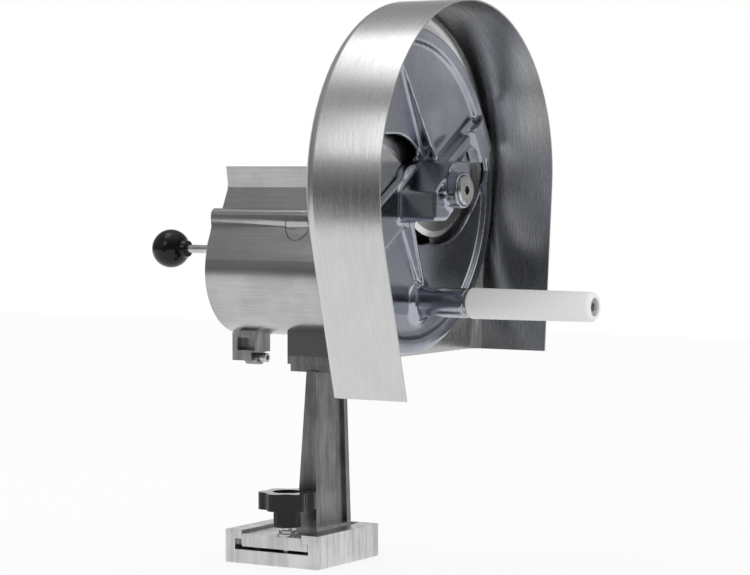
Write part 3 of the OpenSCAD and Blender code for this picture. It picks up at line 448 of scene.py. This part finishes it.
# ---- Guard.
# One strip of stainless sheet bent into an arch and seamed to its back plate with a round bend.
# The brush marks run along the strip, up one leg, over the top and down the other.

def brushed_sheet(name, light, rough):
    sheet = Finish(name, Metallic=1.0)
    back = sheet.facing("Y").between(0.6, 0.9)
    along_strip = sheet.grain(sheet.place((0.03, 1, 0.03)), 1500, 3, 0.6)
    up_back = sheet.grain(sheet.place((1, 0.03, 0.03)), 1500, 3, 0.6)
    brush = along_strip * (1 - back) + up_back * back
    broad = sheet.grain(sheet.place((0.05, 1, 0.05)), 260, 2, 0.5)
    dust = sheet.grain(sheet.place(), 40, 3, 0.6)
    sheet.put("Base Color", sheet.mix(brush.between(0.3, 0.7) * 0.4 + dust * 0.6, grey(light),
                                      grey(light * 0.86)))
    sheet.put("Roughness", (brush * 0.2 + broad * 0.08 + dust * 0.05 + rough - 0.12).held(0.15, 0.7))
    sheet.dent(brush * 0.7 + broad * 0.3, 0.00008, 0.36)
    return sheet.material


guard_brushed = brushed_sheet("brushed_stainless", 0.68, 0.22)
eased("guard", 0.0003, guard_brushed)
paint(frame["nodes"]["guard_screws"], steel_bright)


# ---- Table, light and camera.
# A white table in a dim studio: a white backdrop behind the machine, soft panels over it, beside it and
# in front of it, and a black flag that keeps the table's light off the guard's left wall.

def lamp(name, place, target, width, height, level):
    """A soft panel that looks as bright as level in the metal."""
    data = bpy.data.lights.new(name, "AREA")
    data.shape, data.size, data.size_y, data.energy = "RECTANGLE", width, height, level * pi * width * height
    light = bpy.data.objects.new(name, data)
    bpy.context.collection.objects.link(light)
    light.location = place
    light.rotation_euler = (Vector(target) - Vector(place)).to_track_quat("-Z", "Y").to_euler()
    return light


def white_to(finish):
    """1 for the rays that show the white background: camera, glossy and transmission rays."""
    sight = finish.tree.nodes.new("ShaderNodeLightPath")
    rays = (Wire(finish, sight.outputs[f"Is {ray} Ray"]) for ray in ("Camera", "Glossy", "Transmission"))
    return sum(rays).held(0, 1)


bpy.ops.mesh.primitive_plane_add(size=5, location=(0.4, 0.2, 0))
table = bpy.context.active_object
table.name = "table"
bpy.ops.object.transform_apply(location=True)
table_paint = Finish("pale_table", Base_Color=grey(0.88), Roughness=0.7)
glow = table_paint.node("ShaderNodeEmission", None, grey(1), 1.0)
whiteness = 0.86
blend = table_paint.node("ShaderNodeMixShader", None, white_to(table_paint) * whiteness,
                         Wire(table_paint, table_paint.shader.outputs[0]), glow)
table_paint.tree.links.new(blend.socket, table_paint.tree.nodes["Material Output"].inputs["Surface"])
table.data.materials.append(table_paint.material)

bpy.ops.mesh.primitive_plane_add(size=1, location=(0, 0, 0))
flag = bpy.context.active_object
flag.name = "black_flag"
flag.scale = (0.5, 0.36, 1)
flag.rotation_euler = (pi / 2, 0, radians(56))
flag.location = (-0.994, 0.23, 0.18)
bpy.ops.object.transform_apply(location=True, rotation=True, scale=True)
flag.visible_camera = flag.visible_diffuse = flag.visible_shadow = False
flag_cloth = Finish("black_flag", Base_Color=grey(0.06), Roughness=0.9)
flag.data.materials.append(flag_cloth.material)

lamp("top_panel", (-0.2, 0.5, 1.9), (-0.1, -0.1, 0.4), 1.1, 0.62, 1.5)
lamp("side_panel", (-0.909, 0.263, 0.83), (-0.13, -0.13, 0.33), 0.34, 0.46, 1.5)
lamp("front_fill", (0.9, -2.2, 1.2), (0, -0.1, 0.3), 1.2, 1.2, 0.8)

# Dim walls stand round the set for the metal to show, with the white backdrop in the gap between them.
walls_radius = 4
bpy.ops.mesh.primitive_uv_sphere_add(segments=64, ring_count=32, radius=walls_radius)
walls = bpy.context.active_object
walls.name = "studio_walls"
walls.visible_camera = walls.visible_diffuse = walls.visible_shadow = walls.visible_transmission = False
wall_paint = Finish("studio_walls", Base_Color=grey(0), Specular_IOR_Level=0.0, Roughness=1.0,
                    Emission_Strength=1.0)
direction = wall_paint.place((1 / walls_radius,) * 3)
across, along, height = (wall_paint.node("ShaderNodeSeparateXYZ", None, direction, output=i) for i in range(3))
to_x, to_y = 0.857, 0.515
behind = across * to_x + along * to_y
gap = behind.between(0.66, 0.9) * height.between(0.28, 0.46, 1.0, 0.0)
pale_wall = (across * to_x - along * to_y).between(0.55, 0.95) * height.between(0.3, 0.5, 1.0, 0.0)
dim_wall = height.between(0.05, 0.5, 0.17, 0.33) + height.between(0.75, 1.0, 0.0, 0.5)
camera_side = (0 - behind).between(0.5, 0.9)
brightness = pale_wall * 0.22 + dim_wall * (1 - camera_side * 0.7)
wall_paint.put("Emission Color", wall_paint.mix(brightness, grey(0), grey(1)))
wall_paint.put("Alpha", 1 - gap)
wall_paint.material.cycles.emission_sampling = "NONE"
paint(walls, wall_paint.material)

sky = bpy.data.worlds.new("studio")
bpy.context.scene.world = sky
sky.use_nodes = True
studio = Finish.__new__(Finish)
studio.tree = sky.node_tree
daylight = 0.92
level = studio.mix(white_to(studio), grey(daylight), grey(1.0))
studio.tree.links.new(level.socket, studio.tree.nodes["Background"].inputs["Color"])
studio.tree.nodes["Background"].inputs["Strength"].default_value = 1.0

# The camera stands to the operator's left, a little over the disc's axis, on a long lens.
azimuth, elevation = radians(-58.733), radians(2.67)
camera_place = Vector((-1.9149, -1.2378, 0.3462))
focal_pixels, frame_width = 2593.3, 750
backward = Vector((sin(azimuth) * cos(elevation), -cos(azimuth) * cos(elevation), sin(elevation)))
rightward = (-backward).cross(Vector((0, 0, 1))).normalized()
upward = rightward.cross(-backward)
lens = bpy.data.cameras.new("camera")
lens.sensor_width, lens.sensor_fit = 36, "HORIZONTAL"
lens.lens = 36 * focal_pixels / frame_width
lens.clip_end = 50
camera = bpy.data.objects.new("camera", lens)
bpy.context.collection.objects.link(camera)
turned_to = Matrix((rightward, upward, backward)).transposed().to_4x4()
camera.matrix_world = Matrix.Translation(camera_place) @ turned_to
bpy.context.scene.camera = camera
bpy.context.scene.view_settings.view_transform = "Standard"
